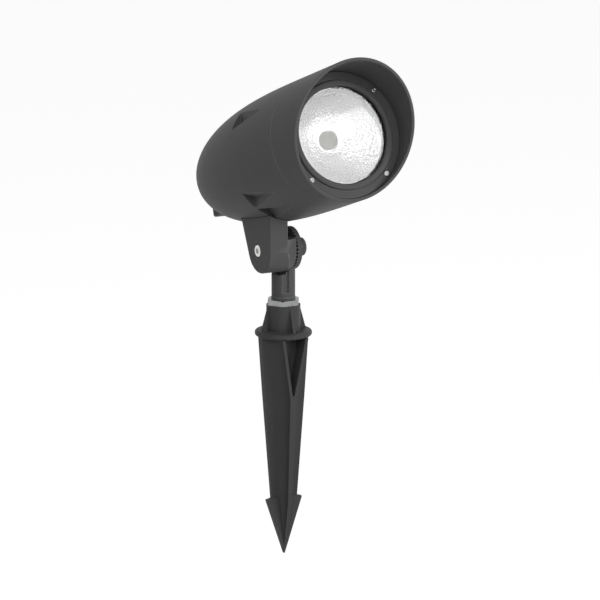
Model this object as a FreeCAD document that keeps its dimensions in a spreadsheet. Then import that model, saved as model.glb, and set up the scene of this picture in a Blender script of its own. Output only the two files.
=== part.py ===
"""Garden spike spotlight: a bullet-shaped lamp head with a slanted hood, on a tilting bracket,
a swivelling stem and a ground spike.

Frame: millimetres, +Z up, the head faces -Y. The origin is on the spike's axis at the underside
of the spike's flange, which is the level of the ground. Pieces of the head are drawn upright, with
their origin at the middle of the glass's outer face and +Z along the beam, and are then leaned.
"""
import FreeCAD, Part
import math
import os
import Sketcher

Vector = FreeCAD.Vector
FULL_TURN = 360

document = FreeCAD.newDocument("spike_spotlight")
sheet = document.addObject("Spreadsheet::Sheet", "size")

# Driving dimensions in millimetres and degrees.
SIZES = {
    # the head as a whole
    "head_lean": 18.2,  # angle of the beam above the horizontal
    "glass_reach": 132.5,  # hinge to the glass, along the beam
    "axis_rise": 74,  # hinge to the beam's axis, square to it
    "hinge_height": 75.4,  # hinge above the ground
    "running_gap": 0.3,  # between pieces that move past each other
    "fit_gap": 0.2,  # between loosely fitted pieces of one body
    "pin_gap": 0.06,  # round a shaft that turns
    # front barrel with its hood
    "barrel_radius": 55.5,
    "hood_wall": 2.7,
    "hood_middle": 24,  # glass to the slanted mouth, on the axis
    "hood_slant": 21.4,  # angle of the mouth from square
    "hood_length": 50,  # blank length in front of the glass, before the slant is cut
    "rim_round": 0.9,
    "seat_depth": 1.2,  # ring seat behind the glass face
    "flange_back": 9,
    "gasket_pocket_radius": 46.5,
    "flange_bore_radius": 41.2,
    "gasket_pocket_depth": 6,
    "parting_depth": 18.7,
    "joint_gap": 0.6,
    "spigot_radius": 52,
    # glass and its seal
    "glass_radius": 45,
    "glass_thickness": 4,
    "glass_bevel": 0.4,
    "seal_front": 0.6,
    "seal_bore_radius": 40,
    # trim ring
    "trim_face": 1.8,
    "trim_bore_radius": 40.4,
    "bezel_radius": 45.4,
    "bezel_rise": 2.2,
    "bezel_round": 1.6,
    "groove_width": 0.8,
    "groove_depth": 0.7,
    "trim_bevel": 0.6,
    "trim_screw_circle": 49.1,
    "trim_screw_head": 2.3,
    "trim_screw_head_height": 1.4,
    "trim_screw_shank": 1.25,
    "trim_screw_length": 8,
    # screws that hold the barrel to the housing
    "joint_screw_circle": 49.4,
    "joint_screw_head": 2.6,
    "joint_screw_shank": 1.25,
    "joint_screw_head_height": 2.4,
    "joint_screw_length": 17,
    # rear housing
    "housing_length": 224.2,
    "housing_wall": 3.2,
    "spigot_bore_radius": 46.5,
    "plate_seat_depth": 34,
    "shelf_thickness": 6,
    "shelf_bore_radius": 39.5,
    "scoop_front": 50,
    "scoop_back": 103,
    "scoop_depth": 6.5,
    "scoop_half_width": 10,
    "scoop_overreach": 4,  # how far the cutting wedge stands out of the surface
    # cable entry
    "boss_half_width": 10.5,
    "boss_half_height": 9.8,
    "boss_drop": 20.5,
    "boss_back": 237,
    "boss_round": 2,
    "boss_inner_length": 24,
    "grommet_radius": 6.4,
    "grommet_collar_radius": 5.4,
    "grommet_length": 19,
    "cable_radius": 3.6,
    "gland_nut_radius": 8.5,
    "gland_nut_depth": 5,
    # light source
    "plate_radius": 46.2,
    "plate_thickness": 5,
    "plate_screw_circle": 43.1,
    "plate_screw_head": 2.75,
    "plate_screw_shank": 1.5,
    "plate_screw_head_height": 2.2,
    "plate_screw_length": 9.5,
    "pad_thickness": 0.5,
    "board_side": 26,
    "board_thickness": 1.5,
    "phosphor_radius": 8,
    "phosphor_thickness": 0.6,
    "holder_radius": 20,
    "holder_thickness": 3.5,
    "holder_window_radius": 9.4,
    "holder_screw_offset": 16.7,
    "holder_screw_head": 2.4,
    "holder_screw_shank": 1.25,
    "holder_screw_head_height": 1.5,
    "holder_screw_length": 5,
    # reflector
    "reflector_throat_radius": 9,
    "reflector_mouth_radius": 39.4,
    "reflector_wall": 1.2,
    "reflector_front": 4.8,
    "reflector_rim_radius": 45.8,
    # driver and what carries it
    "tray_width": 40,
    "tray_thickness": 1.5,
    "tray_drop": 13,
    "tray_back": 152,
    "tray_foot_height": 14,
    "tray_screw_half_span": 13,
    "driver_width": 34,
    "driver_height": 22,
    "driver_length": 74,
    "driver_front": 54,
    "driver_wall": 1.6,
    "driver_floor_thickness": 2,
    "driver_ear": 7,
    "driver_board_thickness": 1.6,
    "small_screw_head": 2.6,
    "small_screw_shank": 1.45,
    "small_screw_head_height": 1.8,
    "small_screw_length": 5,
    "terminal_width": 24,
    "terminal_height": 11,
    "terminal_length": 12,
    "terminal_front": 136,
    "lead_radius": 1,
    "lead_spacing": 10,
    "lead_rise": 24,
    "lead_bend": 3,
    "lead_hole_radius": 1.6,
    # tilting bracket
    "arm_outer": 25,  # outer side, left of the spike's axis
    "arm_inner": 7.8,  # inner side of the upper block
    "arm_end": 2.5,  # root of the teeth, right of the spike's axis
    "boss_front": 18.6,  # hinge to the front of the boss at its toothed end
    "boss_root": 23.2,  # radius that its underside tapers from
    "nose_radius": 20.5,
    "nose_forward": 2.5,
    "nose_rise": 1.6,
    "arm_back_lean": 25.7,
    "arm_top": 42,
    "arm_corner_round": 2,
    "ledge_height": 11.6,
    "tooth_height": 1.2,
    "tooth_width": 2.2,
    "tooth_inner_radius": 11.5,
    "tooth_count": 36,
    "clamp_radius": 3,
    "clamp_head_radius": 5.25,
    "clamp_head_height": 3,
    "clamp_recess_radius": 5.9,
    "clamp_recess_depth": 3.2,
    "clamp_socket": 2.3,
    "clamp_socket_depth": 2,
    "cap_radius": 8,
    "cap_length": 9,
    "cap_round": 2,
    "cap_groove_start": 4.3,
    "cap_groove_width": 0.6,
    "cap_groove_depth": 0.4,
    "clamp_reach": 6,  # how far the screw goes past the lug, into the cap nut
    "washer_radius": 7.4,
    "washer_thickness": 0.9,
    "mount_screw_span": 22,
    "mount_screw_shank": 2.4,
    "mount_screw_head": 4.2,
    "mount_screw_head_height": 2.8,
    "mount_screw_depth": 12,
    "mount_screw_seat": 5.2,  # radius of the flat seat cast under each head
    "saddle_thickness": 0.8,
    # stem
    "stem_radius": 10.1,
    "stem_foot": 34.5,
    "saddle_radius": 22.75,  # hollow top of the column, round the hinge
    "neck_side": 1.5,  # left side of the neck that goes up to the lug
    "lug_radius": 18.5,
    "lug_outer": 9,
    "lug_face_drop": 11,
    "lug_edge_round": 0.8,
    "thread_radius": 10.48,
    "thread_pitch": 1.814,
    "thread_depth": 0.9,
    "thread_foot": 8,
    "core_middle": 2.5,
    "core_width": 6,
    "core_depth": 1.5,
    "core_foot": 38.5,
    # lock nut
    "nut_flats": 26,
    "nut_thickness": 5,
    "nut_bevel": 1.2,
    # spike
    "flange_radius": 24.5,
    "flange_thickness": 5,
    "flange_round": 2.2,
    "socket_radius": 14.6,
    "socket_top": 27,
    "gusset_radius": 20.9,
    "gusset_top": 26.5,
    "gusset_thickness": 2.6,
    "fin_radius": 22.5,
    "fin_width": 7,
    "web_width": 24.8,  # front and back fins where they meet the flange
    "web_depth": 53,  # below it these fins are as narrow as the others
    "web_flute": 4.5,
    "waist_radius": 18.8,
    "waist_width": 6.4,
    "waist_flute": 6.5,
    "barb_depth": 144.5,
    "blade_radius": 12,
    "blade_width": 4,
    "blade_flute": 5.6,
    "barb_radius": 17,
    "barb_notch": 1.5,
    "tip_depth": 194,
    "tip_radius": 0.6,
    "tip_flute": 0.1,
    "pocket_half_width": 9.8,
    "pocket_depth": 50,
    "pocket_point": 1.6,
    "pocket_floor": 8,
}
for row, (alias, value) in enumerate(SIZES.items(), start=1):
    sheet.set(f"A{row}", alias)
    sheet.set(f"B{row}", str(value))
    sheet.setAlias(f"B{row}", alias)
document.recompute()

BULLET_POWER = 3  # exponent of the housing's outline, from blunt shoulder to round nose
GLASS_FORWARD = "size.glass_reach * cos(size.head_lean * 1deg) - size.axis_rise * sin(size.head_lean * 1deg)"
GLASS_HEIGHT = (
    "size.hinge_height + size.glass_reach * sin(size.head_lean * 1deg)"
    " + size.axis_rise * cos(size.head_lean * 1deg)"
)
HEAD_PLACE = (
    f"placement(vector(0; -1 * ({GLASS_FORWARD}); {GLASS_HEIGHT});"
    " rotation(vector(1; 0; 0); 90 - size.head_lean))"
)
HINGE_PLACE = "placement(vector(0; 0; size.hinge_height); rotation(vector(1; 0; 0); 0))"
HINGE_CROSSWISE = "placement(vector(0; 0; size.hinge_height); rotation(vector(0; 1; 0); 90))"
NODES = []


def size(alias):
    """One driving dimension as a number."""
    return float(SIZES[alias])


def node(piece, label, place=None):
    """Names a finished piece, puts it in its place and lists it."""
    piece.Label = label
    if place:
        piece.setExpression("Placement", place)
    NODES.append(piece)
    return piece


# ---------------------------------------------------------------- outlines and simple solids


def origin_plane(body, role):
    """The plane of the body's own origin with this role."""
    return next(feature for feature in body.Origin.OriginFeatures if feature.Role == role)


def outline(body, name, plane, corners):
    """Closed outline of straight edges, each corner tied to its two sizes."""
    sketch = body.newObject("Sketcher::SketchObject", name)
    sketch.AttachmentSupport = [(origin_plane(body, plane), "")]
    sketch.MapMode = "FlatFace"
    count = len(corners)
    turn = 2 * math.pi / count
    starts = [Vector(10 * math.cos(turn * k), 10 * math.sin(turn * k), 0) for k in range(count)]
    for k in range(count):
        sketch.addGeometry(Part.LineSegment(starts[k], starts[(k + 1) % count]))
    sketch.addConstraint(
        [Sketcher.Constraint("Coincident", k, 2, (k + 1) % count, 1) for k in range(count)]
    )
    for k, (across, along) in enumerate(corners):
        first = sketch.addConstraint(Sketcher.Constraint("DistanceX", -1, 1, k, 1, starts[k].x))
        sketch.setExpression(f"Constraints[{first}]", across)
        second = sketch.addConstraint(Sketcher.Constraint("DistanceY", -1, 1, k, 1, starts[k].y))
        sketch.setExpression(f"Constraints[{second}]", along)
    return sketch


def turned(name, corners, axis="V_Axis", plane="XZ_Plane"):
    """Body of revolution; its corners are (radius, height) from the axis."""
    body = document.addObject("PartDesign::Body", name)
    sketch = outline(body, name + "_outline", plane, corners)
    revolution = body.newObject("PartDesign::Revolution", name + "_turned")
    revolution.Profile = sketch
    revolution.ReferenceAxis = (sketch, [axis])
    revolution.Angle = FULL_TURN
    return body


def prism(name, plane, corners, start, length):
    """Straight-sided body: an outline on a plane, raised from start by length."""
    body = document.addObject("PartDesign::Body", name)
    sketch = outline(body, name + "_outline", plane, corners)
    sketch.setExpression(".AttachmentOffset.Base.z", start)
    pad = body.newObject("PartDesign::Pad", name + "_raised")
    pad.Profile = sketch
    pad.setExpression("Length", length)
    return body


def cylinder(name, radius, height, place=None):
    """Round bar from the origin up, or from its place."""
    bar = document.addObject("Part::Cylinder", name)
    bar.setExpression("Radius", radius)
    bar.setExpression("Height", height)
    if place:
        bar.setExpression("Placement", place)
    return bar


def box(name, low, high, place=None):
    """Block between two corners, given as expressions."""
    block = document.addObject("Part::Box", name)
    for side, start, end in zip(("Length", "Width", "Height"), low, high):
        block.setExpression(side, f"({end}) - ({start})")
    corner = f"vector({low[0]}; {low[1]}; {low[2]})"
    block.setExpression("Placement", place or f"placement({corner}; rotation(vector(0; 0; 1); 0))")
    return block


def at(across, up, along):
    """Expression of an unturned place."""
    return f"placement(vector({across}; {up}; {along}); rotation(vector(0; 0; 1); 0))"


def joined(name, *pieces):
    """All pieces in one."""
    fuse = document.addObject("Part::MultiFuse", name)
    fuse.Shapes = list(pieces)
    fuse.Refine = True
    return fuse


def cut(name, base, *tools):
    """The base without what the tools take away."""
    result = document.addObject("Part::Cut", name)
    result.Base = base
    result.Tool = tools[0] if len(tools) == 1 else joined(name + "_tools", *tools)
    result.Refine = True
    return result


def rounded(name, base, radius, wanted):
    """The base with every edge that the test picks rounded."""
    document.recompute()
    fillet = document.addObject("Part::Fillet", name)
    fillet.Base = base
    chosen = [n for n, edge in enumerate(base.Shape.Edges, start=1) if wanted(edge)]
    fillet.Edges = [(n, radius, radius) for n in chosen]
    return fillet


def body_fillet(body, name, radius, wanted):
    """Rounds the edges of a body that the test picks."""
    base = body.Tip
    edges = [f"Edge{n}" for n, edge in enumerate(base.Shape.Edges, start=1) if wanted(edge)]
    fillet = body.newObject("PartDesign::Fillet", name)
    fillet.Base = (base, edges)
    fillet.setExpression("Radius", radius)
    body.Tip = fillet


def formed(name, shape):
    """A piece whose shape comes from a formula that reads the sizes above."""
    piece = document.addObject("Part::Feature", name)
    piece.Shape = shape
    return piece


def screw(name, head, head_height, shank, length, place):
    """Socket-head screw; its shank points down from the head's underside at the origin."""
    chamfer = "0.4"
    body = turned(
        name,
        [
            ("0", f"-1 * ({length})"),
            (shank, f"-1 * ({length})"),
            (shank, "0"),
            (head, "0"),
            (head, f"{head_height} - {chamfer}"),
            (f"{head} - {chamfer}", head_height),
            ("0", head_height),
        ],
    )
    document.recompute()
    socket = body.newObject("PartDesign::SubtractivePrism", name + "_socket")
    socket.AttachmentSupport = [(origin_plane(body, "XY_Plane"), "")]
    socket.MapMode = "FlatFace"
    socket.Polygon = 6
    socket.setExpression("Circumradius", f"{head} * 0.5")
    socket.setExpression("Height", head_height)
    socket.setExpression(".AttachmentOffset.Base.z", f"{head_height} * 0.35")
    body.setExpression("Placement", place)
    return body


def compound(name, pieces):
    """Identical pieces that share one node."""
    group = document.addObject("Part::Compound", name)
    group.Links = pieces
    return group


def round_the_axis(radius, angle, depth):
    """Expression of a place on a circle round the beam, turned clockwise from the top."""
    return at(f"{radius} * sin({angle} * 1deg)", f"{radius} * cos({angle} * 1deg)", depth)


DIAGONALS = [45, 135, 225, 315]
SQUARES = [0, 90, 180, 270]

# ---------------------------------------------------------------- front barrel, glass and trim


def front_hood():
    """Cast barrel: long eyelid hood in front, flange for the glass, cup for the housing's spigot."""
    body = turned(
        "hood_blank",
        [
            ("size.spigot_radius + size.fit_gap", "size.joint_gap / 2 - size.parting_depth"),
            ("size.barrel_radius", "size.joint_gap / 2 - size.parting_depth"),
            ("size.barrel_radius", "size.hood_length"),
            ("size.barrel_radius - size.hood_wall", "size.hood_length"),
            ("size.barrel_radius - size.hood_wall", "-1 * size.seat_depth"),
            ("size.gasket_pocket_radius", "-1 * size.seat_depth"),
            ("size.gasket_pocket_radius", "-1 * size.gasket_pocket_depth"),
            ("size.flange_bore_radius", "-1 * size.gasket_pocket_depth"),
            ("size.flange_bore_radius", "-1 * size.flange_back"),
            ("size.spigot_radius + size.fit_gap", "-1 * size.flange_back"),
        ],
    )
    drop = "size.hood_middle - size.barrel_radius * 1.2 * tan(size.hood_slant * 1deg)"
    rise = "size.hood_middle + size.barrel_radius * 1.2 * tan(size.hood_slant * 1deg)"
    mouth = outline(
        body,
        "mouth_outline",
        "YZ_Plane",
        [
            ("-1.2 * size.barrel_radius", drop),
            ("1.2 * size.barrel_radius", rise),
            ("1.2 * size.barrel_radius", "2 * size.hood_length"),
            ("-1.2 * size.barrel_radius", "2 * size.hood_length"),
        ],
    )
    slant = body.newObject("PartDesign::Pocket", "mouth_cut")
    slant.Profile = mouth
    slant.Type = "ThroughAll"
    slant.Midplane = True
    holes = []
    for angle in DIAGONALS:
        holes.append(
            cylinder(
                f"trim_hole_{angle}",
                "size.trim_screw_shank + 0.05",
                "size.trim_screw_length",
                round_the_axis(
                    "size.trim_screw_circle", angle, "size.trim_face - size.trim_screw_length - 0.5"
                ),
            )
        )
    for angle in SQUARES:
        holes.append(
            cylinder(
                f"joint_hole_{angle}",
                "size.joint_screw_shank + 0.1",
                "size.flange_back",
                round_the_axis("size.joint_screw_circle", angle, "-1 * size.flange_back"),
            )
        )
        holes.append(
            cylinder(
                f"joint_sink_{angle}",
                "size.joint_screw_head + size.fit_gap",
                "size.joint_screw_head_height + 3",
                round_the_axis(
                    "size.joint_screw_circle",
                    angle,
                    "-1 * (size.seat_depth + size.fit_gap + size.joint_screw_head_height)",
                ),
            )
        )
    bored = cut("hood_bored", body, *holes)
    slant_rise = size("barrel_radius") * math.tan(math.radians(size("hood_slant")))

    def is_rim(edge):
        bounds = edge.BoundBox
        return bounds.ZMin > size("hood_middle") - slant_rise - 1 and bounds.ZLength > 1.4 * slant_rise

    node(rounded("hood", bored, size("rim_round"), is_rim), "front_hood", HEAD_PLACE)


def housing_gasket():
    """Flat ring in the joint between barrel and housing; it shows as a thin dark line."""
    ring = turned(
        "joint_ring",
        [
            ("size.spigot_radius + size.fit_gap", "-1 * (size.parting_depth + size.joint_gap / 2)"),
            ("size.barrel_radius - 1", "-1 * (size.parting_depth + size.joint_gap / 2)"),
            ("size.barrel_radius - 1", "size.joint_gap / 2 - size.parting_depth"),
            ("size.spigot_radius + size.fit_gap", "size.joint_gap / 2 - size.parting_depth"),
        ],
    )
    node(ring, "housing_gasket", HEAD_PLACE)


def trim_ring():
    """Flat ring with four screws and a raised round bezel that presses the glass on its seal."""
    outer = "size.barrel_radius - size.hood_wall - size.fit_gap"
    groove_low = "size.trim_face - size.groove_depth"
    groove_outer = "size.bezel_radius + size.groove_width"
    body = turned(
        "trim_blank",
        [
            ("size.trim_bore_radius", "size.seal_front"),
            ("size.gasket_pocket_radius", "size.seal_front"),
            ("size.gasket_pocket_radius", "-1 * size.seat_depth"),
            (outer, "-1 * size.seat_depth"),
            (outer, "size.trim_face - size.trim_bevel"),
            (f"{outer} - size.trim_bevel", "size.trim_face"),
            (groove_outer, "size.trim_face"),
            (groove_outer, groove_low),
            ("size.bezel_radius", groove_low),
            ("size.bezel_radius", "size.trim_face + size.bezel_rise"),
            ("size.trim_bore_radius", "size.trim_face + size.bezel_rise"),
        ],
    )
    holes = [
        cylinder(
            f"trim_through_{angle}",
            "size.trim_screw_shank + 0.15",
            "size.trim_face + 3 * size.seat_depth",
            round_the_axis("size.trim_screw_circle", angle, "-2 * size.seat_depth"),
        )
        for angle in DIAGONALS
    ]
    bored = cut("trim_bored", body, *holes)
    top = size("trim_face") + size("bezel_rise")
    soft = rounded("trim", bored, size("bezel_round"), lambda edge: edge.BoundBox.ZMin > top - 0.01)
    node(soft, "trim_ring", HEAD_PLACE)
    screws = [
        screw(
            f"trim_screw_{angle}",
            "size.trim_screw_head",
            "size.trim_screw_head_height",
            "size.trim_screw_shank",
            "size.trim_screw_length",
            round_the_axis("size.trim_screw_circle", angle, "size.trim_face"),
        )
        for angle in DIAGONALS
    ]
    node(compound("trim_screw_set", screws), "trim_screws", HEAD_PLACE)


def joint_screws():
    """Screws under the trim ring that pull the housing's spigot into the barrel."""
    screws = [
        screw(
            f"joint_screw_{angle}",
            "size.joint_screw_head",
            "size.joint_screw_head_height",
            "size.joint_screw_shank",
            "size.joint_screw_length",
            round_the_axis(
                "size.joint_screw_circle",
                angle,
                "-1 * (size.seat_depth + size.fit_gap + size.joint_screw_head_height)",
            ),
        )
        for angle in SQUARES
    ]
    node(compound("joint_screw_set", screws), "housing_screws", HEAD_PLACE)


def glass_and_seal():
    """Toughened glass disc in a rubber channel."""
    glass = turned(
        "glass_disc",
        [
            ("0", "-1 * size.glass_thickness"),
            ("size.glass_radius - size.glass_bevel", "-1 * size.glass_thickness"),
            ("size.glass_radius", "size.glass_bevel - size.glass_thickness"),
            ("size.glass_radius", "-1 * size.glass_bevel"),
            ("size.glass_radius - size.glass_bevel", "0"),
            ("0", "0"),
        ],
    )
    node(glass, "glass_lens", HEAD_PLACE)
    seal = turned(
        "glass_channel",
        [
            ("size.flange_bore_radius", "-1 * size.gasket_pocket_depth"),
            ("size.gasket_pocket_radius - 0.1", "-1 * size.gasket_pocket_depth"),
            ("size.gasket_pocket_radius - 0.1", "size.seal_front"),
            ("size.seal_bore_radius", "size.seal_front"),
            ("size.seal_bore_radius", "0"),
            ("size.glass_radius + 0.05", "0"),
            ("size.glass_radius + 0.05", "-1 * size.glass_thickness"),
            ("size.flange_bore_radius", "-1 * size.glass_thickness"),
        ],
    )
    node(seal, "lens_gasket", HEAD_PLACE)


# ---------------------------------------------------------------- rear housing and cable entry


def bullet(radius, length, start):
    """Solid of revolution: a blunt shoulder that closes in a round nose behind the start."""
    steps = 10
    points = []
    for step in range(steps + 1):
        share = math.sin(math.pi / 2 * step / steps) ** 0.5
        reach = radius * math.sqrt(max(0.0, 1 - share**BULLET_POWER))
        points.append(Vector(reach, 0, -start - length * share))
    curve = Part.BSplineCurve()
    curve.interpolate(Points=points, InitialTangent=Vector(0, 0, -1), FinalTangent=Vector(-1, 0, 0))
    front = Vector(0, 0, -start)
    wire = Part.Wire(
        [
            curve.toShape(),
            Part.makeLine(points[-1], front),
            Part.makeLine(front, points[0]),
        ]
    )
    return Part.Face(wire).revolve(Vector(), Vector(0, 0, 1), FULL_TURN)


def bullet_radius(depth):
    """Outer radius of the housing at a depth behind the glass."""
    start = size("parting_depth") + size("joint_gap") / 2
    share = (depth - start) / size("housing_length")
    return size("barrel_radius") * math.sqrt(1 - share**BULLET_POWER)


MOUNT_SCREWS = ["-0.5", "0.5"]


def mount_screw_place(along, drop):
    """Place of a bracket screw's axis: square to the beam, over the bracket's upper block."""
    across = "-1 * (size.arm_outer + size.arm_inner) / 2"
    depth = f"{along} * size.mount_screw_span - size.glass_reach"
    return f"placement(vector({across}; {drop}; {depth}); rotation(vector(1; 0; 0); -90))"


def cavity_radius(depth):
    """Inner radius of the housing at a depth behind the glass."""
    start = size("parting_depth") + size("joint_gap") / 2
    wall = size("housing_wall")
    share = (depth - start) / (size("housing_length") - wall)
    return (size("barrel_radius") - wall) * math.sqrt(1 - share**BULLET_POWER)


def screw_seat_height(along):
    """Height of a bracket screw's flat seat, clear of the round and sloping wall."""
    seat = size("mount_screw_seat")
    depth = size("glass_reach") - float(along) * size("mount_screw_span") + seat
    across = (size("arm_outer") + size("arm_inner")) / 2 + seat
    return -math.sqrt(cavity_radius(depth) ** 2 - across**2)


def scoop(name, angle, extra):
    """Three-sided scoop: a V whose ridge sinks from its front point to a steep back wall."""
    front = size("scoop_front")
    back = size("scoop_back") + extra
    ridge_front = bullet_radius(front) - extra
    ridge_back = bullet_radius(size("scoop_back")) - size("scoop_depth") - extra
    opening = (size("scoop_half_width") + extra) / size("scoop_depth")
    top = size("barrel_radius") + size("scoop_overreach")
    sections = []
    for depth, ridge in ((front, ridge_front), (back, ridge_back)):
        half = (top - ridge) * opening
        corners = [Vector(0, ridge, -depth), Vector(half, top, -depth), Vector(-half, top, -depth)]
        sections.append(Part.makePolygon(corners + corners[:1]))
    wedge = Part.makeLoft(sections, True, True)
    wedge.rotate(Vector(), Vector(0, 0, 1), -angle)
    return formed(name, wedge)


SCOOP_ANGLES = [52, 130, 150, 210, 230, 308]


def rear_housing():
    """Cast rear housing: spigot, plate seat, bullet shell with scoops, and the cable boss."""
    start = size("parting_depth") + size("joint_gap") / 2
    wall = size("housing_wall")
    shell = formed("bullet_outside", bullet(size("barrel_radius"), size("housing_length"), start))
    spigot = cylinder(
        "spigot",
        "size.spigot_radius",
        "size.parting_depth - size.flange_back",
        at("0", "0", "-1 * size.parting_depth - size.joint_gap / 2"),
    )
    boss = entry_block("entry_boss", "0", "size.boss_inner_length + 8")
    inner_end = size("boss_inner_length") + 8 - size("boss_back")
    soft_boss = rounded(
        "entry_boss_round",
        boss,
        size("boss_round"),
        lambda edge: edge.BoundBox.ZMin < inner_end - 0.1,
    )
    outside = joined("housing_outside", shell, spigot, soft_boss)
    inside = formed(
        "bullet_inside",
        bullet(size("barrel_radius") - wall, size("housing_length") - wall, start),
    )
    front_fill = cylinder(
        "shelf_stock",
        "size.barrel_radius",
        "size.plate_seat_depth + size.shelf_thickness",
        at("0", "0", "-1 * (size.plate_seat_depth + size.shelf_thickness)"),
    )
    boss_fill = entry_block("entry_stock", "1.5", "size.boss_inner_length")
    backing = [scoop(f"scoop_backing_{angle}", angle, wall) for angle in SCOOP_ANGLES]
    seats = [
        cylinder(
            f"screw_seat_{number}",
            "size.mount_screw_seat",
            f"size.barrel_radius + ({screw_seat_height(along)})",
            mount_screw_place(along, "-1 * size.barrel_radius"),
        )
        for number, along in enumerate(MOUNT_SCREWS)
    ]
    cavity = cut("housing_cavity", inside, front_fill, boss_fill, *backing, *seats)
    tools = [
        cavity,
        cylinder(
            "plate_bore",
            "size.spigot_bore_radius",
            "size.plate_seat_depth",
            at("0", "0", "-1 * size.plate_seat_depth"),
        ),
        cylinder(
            "shelf_bore",
            "size.shelf_bore_radius",
            "size.plate_seat_depth + size.shelf_thickness + 1",
            at("0", "0", "-1 * (size.plate_seat_depth + size.shelf_thickness) - 1"),
        ),
        cylinder(
            "gland_bore",
            "size.gland_nut_radius + 0.05",
            "size.gland_nut_depth + 1",
            at("0", "-1 * size.boss_drop", "-1 * size.boss_back - 1"),
        ),
        cylinder(
            "grommet_bore",
            "size.grommet_radius + 0.05",
            "size.grommet_length",
            at("0", "-1 * size.boss_drop", "-1 * size.boss_back"),
        ),
        cylinder(
            "wire_bore",
            "size.cable_radius + 0.6",
            "size.boss_inner_length + 1",
            at("0", "-1 * size.boss_drop", "-1 * size.boss_back"),
        ),
    ]
    tools += [scoop(f"scoop_{angle}", angle, 0) for angle in SCOOP_ANGLES]
    for angle in SQUARES:
        tools.append(
            cylinder(
                f"spigot_hole_{angle}",
                "size.joint_screw_shank + 0.05",
                "size.joint_screw_length",
                round_the_axis(
                    "size.joint_screw_circle",
                    angle,
                    "-1 * (size.seat_depth + size.joint_screw_head_height"
                    " + size.joint_screw_length + 0.5)",
                ),
            )
        )
    for angle in DIAGONALS:
        tools.append(
            cylinder(
                f"shelf_hole_{angle}",
                "size.plate_screw_shank + 0.05",
                "size.plate_screw_length",
                round_the_axis(
                    "size.plate_screw_circle",
                    angle,
                    "size.plate_thickness - size.plate_seat_depth - size.plate_screw_length - 0.3",
                ),
            )
        )
    for number, along in enumerate(MOUNT_SCREWS):
        tools.append(
            cylinder(
                f"wall_hole_{number}",
                "size.mount_screw_shank + 0.15",
                "size.barrel_radius",
                mount_screw_place(along, "-1 * size.barrel_radius"),
            )
        )
    node(cut("housing", outside, *tools), "rear_housing", HEAD_PLACE)


def entry_block(name, margin, length):
    """Block round the cable's axis at the tail, smaller on its sides by a margin."""
    half_width = f"(size.boss_half_width - {margin})"
    half_height = f"(size.boss_half_height - {margin})"
    return box(
        name,
        (f"-1 * {half_width}", f"-1 * size.boss_drop - {half_height}", "-1 * size.boss_back"),
        (half_width, f"{half_height} - size.boss_drop", f"{length} - size.boss_back"),
    )


def cable_entry():
    """Rubber grommet in the boss and the ring nut that squeezes it."""
    grommet = turned(
        "grommet_blank",
        [
            ("size.cable_radius", "0"),
            ("size.grommet_collar_radius", "0"),
            ("size.grommet_collar_radius", "size.gland_nut_depth + size.fit_gap"),
            ("size.grommet_radius", "size.gland_nut_depth + size.fit_gap"),
            ("size.grommet_radius", "size.grommet_length"),
            ("size.cable_radius", "size.grommet_length"),
        ],
    )
    boss_place = at("0", "-1 * size.boss_drop", "-1 * size.boss_back")
    grommet.setExpression("Placement", boss_place)
    node(compound("grommet", [grommet]), "cable_grommet", HEAD_PLACE)
    nut = turned(
        "gland_blank",
        [
            ("size.grommet_collar_radius + 0.05", "0"),
            ("size.gland_nut_radius - 0.5", "0"),
            ("size.gland_nut_radius", "0.5"),
            ("size.gland_nut_radius", "size.gland_nut_depth"),
            ("size.grommet_collar_radius + 0.05", "size.gland_nut_depth"),
        ],
    )
    nut.setExpression("Placement", boss_place)
    slot = box(
        "gland_slot",
        ("-1 * size.gland_nut_radius", "-1 * size.boss_drop - 0.9", "-1 * size.boss_back - 1"),
        ("size.gland_nut_radius", "-1 * size.boss_drop + 0.9", "1.5 - size.boss_back"),
    )
    node(cut("gland", nut, slot), "gland_nut", HEAD_PLACE)


# ---------------------------------------------------------------- light source and reflector


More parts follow.
